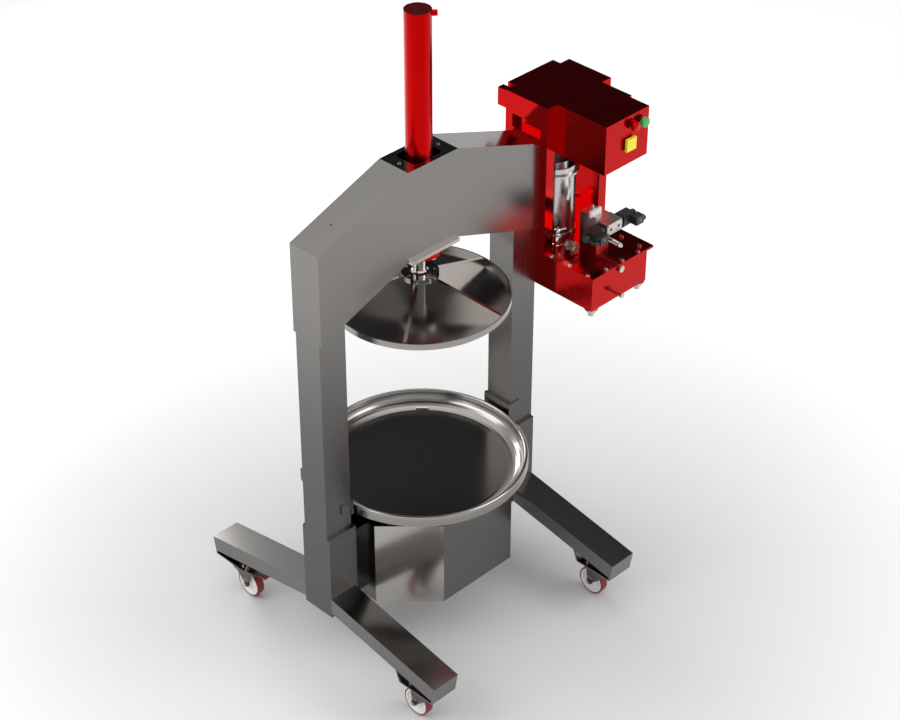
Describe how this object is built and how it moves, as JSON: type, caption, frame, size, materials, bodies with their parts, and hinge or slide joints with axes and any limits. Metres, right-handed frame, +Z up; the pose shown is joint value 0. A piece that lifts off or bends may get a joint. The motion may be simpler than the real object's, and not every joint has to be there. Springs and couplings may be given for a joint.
{
  "type": "fruit press",
  "caption": "Hydraulic fruit press: portal frame on castors, ram with round ribbed press plate over a juice tray, and a red power unit on one upright.",
  "frame": {"origin": "on the floor under the ram axis, midway between the uprights", "axes": "+X towards the power unit, -Y towards the user, +Z up"},
  "size_m": [1.188, 1.02, 2.11],
  "materials": {
    "stainless": "satin, ground",
    "zinc_steel": "zinc plated",
    "red_paint": "glossy red paint",
    "chrome_rod": "hard chromed and polished",
    "machined_steel": "machined",
    "cast_alloy": "smooth",
    "nylon_wheel": "white core, red moulded tread",
    "black_plastic": "matt black",
    "green_plastic": "glossy",
    "red_plastic": "glossy",
    "yellow_plastic": "glossy"
  },
  "bodies": {
    "frame": {"uprights": "stainless", "foot_sleeves": "stainless", "legs": "stainless", "castor_brackets": "stainless", "head_front_plate": "stainless", "head_rear_plate": "stainless", "head_roof": "stainless", "casing": "stainless", "casing_brackets": "stainless", "tray_clips": "stainless", "mounting_plate": "stainless", "castor_plates": "zinc_steel", "frame_bolts": "zinc_steel", "lid_bolts": "zinc_steel", "tank_feet": "zinc_steel", "tank_plugs": "zinc_steel", "pressure_fitting": "zinc_steel", "relief_valve": "zinc_steel", "breather": "zinc_steel", "barrel": "red_paint", "barrel_cap": "red_paint", "cylinder_gland": "red_paint", "oil_ports": "red_paint", "tank": "red_paint", "tank_lid": "red_paint", "columns": "red_paint", "hood": "red_paint", "control_cover": "red_paint", "valve_block": "machined_steel", "manifold": "machined_steel", "pump_body": "cast_alloy", "motor_body": "cast_alloy", "contact_blocks": "black_plastic", "solenoids": "black_plastic", "coil_connectors": "black_plastic"},
    "ram": {"piston": "machined_steel", "piston_rod": "chrome_rod", "rod_disc": "stainless", "disc_bolts": "zinc_steel", "hub": "stainless", "press_dish": "stainless", "press_ribs": "stainless"},
    "tray": {"tray": "stainless"},
    "front_left_castor": {"front_left_fork": "zinc_steel"},
    "front_left_roller": {"front_left_wheel": "nylon_wheel"},
    "front_right_castor": {"front_right_fork": "zinc_steel"},
    "front_right_roller": {"front_right_wheel": "nylon_wheel"},
    "rear_left_castor": {"rear_left_fork": "zinc_steel"},
    "rear_left_roller": {"rear_left_wheel": "nylon_wheel"},
    "rear_left_brake": {"rear_left_pedal": "zinc_steel"},
    "rear_right_castor": {"rear_right_fork": "zinc_steel"},
    "rear_right_roller": {"rear_right_wheel": "nylon_wheel"},
    "rear_right_brake": {"rear_right_pedal": "zinc_steel"},
    "start_switch": {"green_button": "green_plastic"},
    "stop_switch": {"red_button": "red_plastic"},
    "power_switch": {"main_switch": "yellow_plastic"},
    "rotor": {"motor_rotor": "machined_steel", "drive_gear": "machined_steel"},
    "idler": {"driven_gear": "machined_steel"},
    "spool": {"valve_spool": "machined_steel"}
  },
  "joints": [
    {"name": "ram_slide", "type": "slide", "parent": "frame", "child": "ram", "axis": [0, 0, -1], "range_m": [0, 0.6]},
    {"name": "tray_pull", "type": "slide", "parent": "frame", "child": "tray", "axis": [0, -1, 0], "range_m": [0, 0.75]},
    {"name": "front_left_swivel", "type": "hinge", "parent": "frame", "child": "front_left_castor", "pos_m": [-0.4, -0.428, 0.11], "axis": [0, 0, 1], "continuous": true},
    {"name": "front_left_roll", "type": "hinge", "parent": "front_left_castor", "child": "front_left_roller", "pos_m": [-0.4, -0.391, 0.049], "axis": [1, 0, 0], "continuous": true},
    {"name": "front_right_swivel", "type": "hinge", "parent": "frame", "child": "front_right_castor", "pos_m": [0.4, -0.428, 0.11], "axis": [0, 0, 1], "continuous": true},
    {"name": "front_right_roll", "type": "hinge", "parent": "front_right_castor", "child": "front_right_roller", "pos_m": [0.4, -0.391, 0.049], "axis": [1, 0, 0], "continuous": true},
    {"name": "rear_left_swivel", "type": "hinge", "parent": "frame", "child": "rear_left_castor", "pos_m": [-0.4, 0.428, 0.11], "axis": [0, 0, 1], "continuous": true},
    {"name": "rear_left_roll", "type": "hinge", "parent": "rear_left_castor", "child": "rear_left_roller", "pos_m": [-0.4, 0.391, 0.049], "axis": [1, 0, 0], "continuous": true},
    {"name": "rear_left_brake_turn", "type": "hinge", "parent": "rear_left_castor", "child": "rear_left_brake", "pos_m": [-0.4, 0.362, 0.1027], "axis": [1, 0, 0], "range_deg": [0, 22]},
    {"name": "rear_right_swivel", "type": "hinge", "parent": "frame", "child": "rear_right_castor", "pos_m": [0.4, 0.428, 0.11], "axis": [0, 0, 1], "continuous": true},
    {"name": "rear_right_roll", "type": "hinge", "parent": "rear_right_castor", "child": "rear_right_roller", "pos_m": [0.4, 0.391, 0.049], "axis": [1, 0, 0], "continuous": true},
    {"name": "rear_right_brake_turn", "type": "hinge", "parent": "rear_right_castor", "child": "rear_right_brake", "pos_m": [0.4, 0.362, 0.1027], "axis": [1, 0, 0], "range_deg": [0, 22]},
    {"name": "start_press", "type": "slide", "parent": "frame", "child": "start_switch", "axis": [0, 1, 0], "range_m": [0, 0.003], "stiffness_N_per_m": 600},
    {"name": "stop_press", "type": "slide", "parent": "frame", "child": "stop_switch", "axis": [0, 1, 0], "range_m": [0, 0.003], "stiffness_N_per_m": 600},
    {"name": "power_press", "type": "slide", "parent": "frame", "child": "power_switch", "axis": [0, 1, 0], "range_m": [0, 0.003], "stiffness_N_per_m": 600},
    {"name": "motor_spin", "type": "hinge", "parent": "frame", "child": "rotor", "pos_m": [0.59, 0, 1.2], "axis": [0, 0, 1], "continuous": true},
    {"name": "driven_gear_spin", "type": "hinge", "parent": "frame", "child": "idler", "pos_m": [0.59, 0.0302, 1.093], "axis": [0, 0, 1], "continuous": true},
    {"name": "spool_shift", "type": "slide", "parent": "frame", "child": "spool", "axis": [1, 0, 0], "range_m": [-0.003, 0.003], "stiffness_N_per_m": 2000}
  ],
  "couplings": [
    {"joint": "driven_gear_spin", "follows": "motor_spin", "ratio": -1}
  ]
}
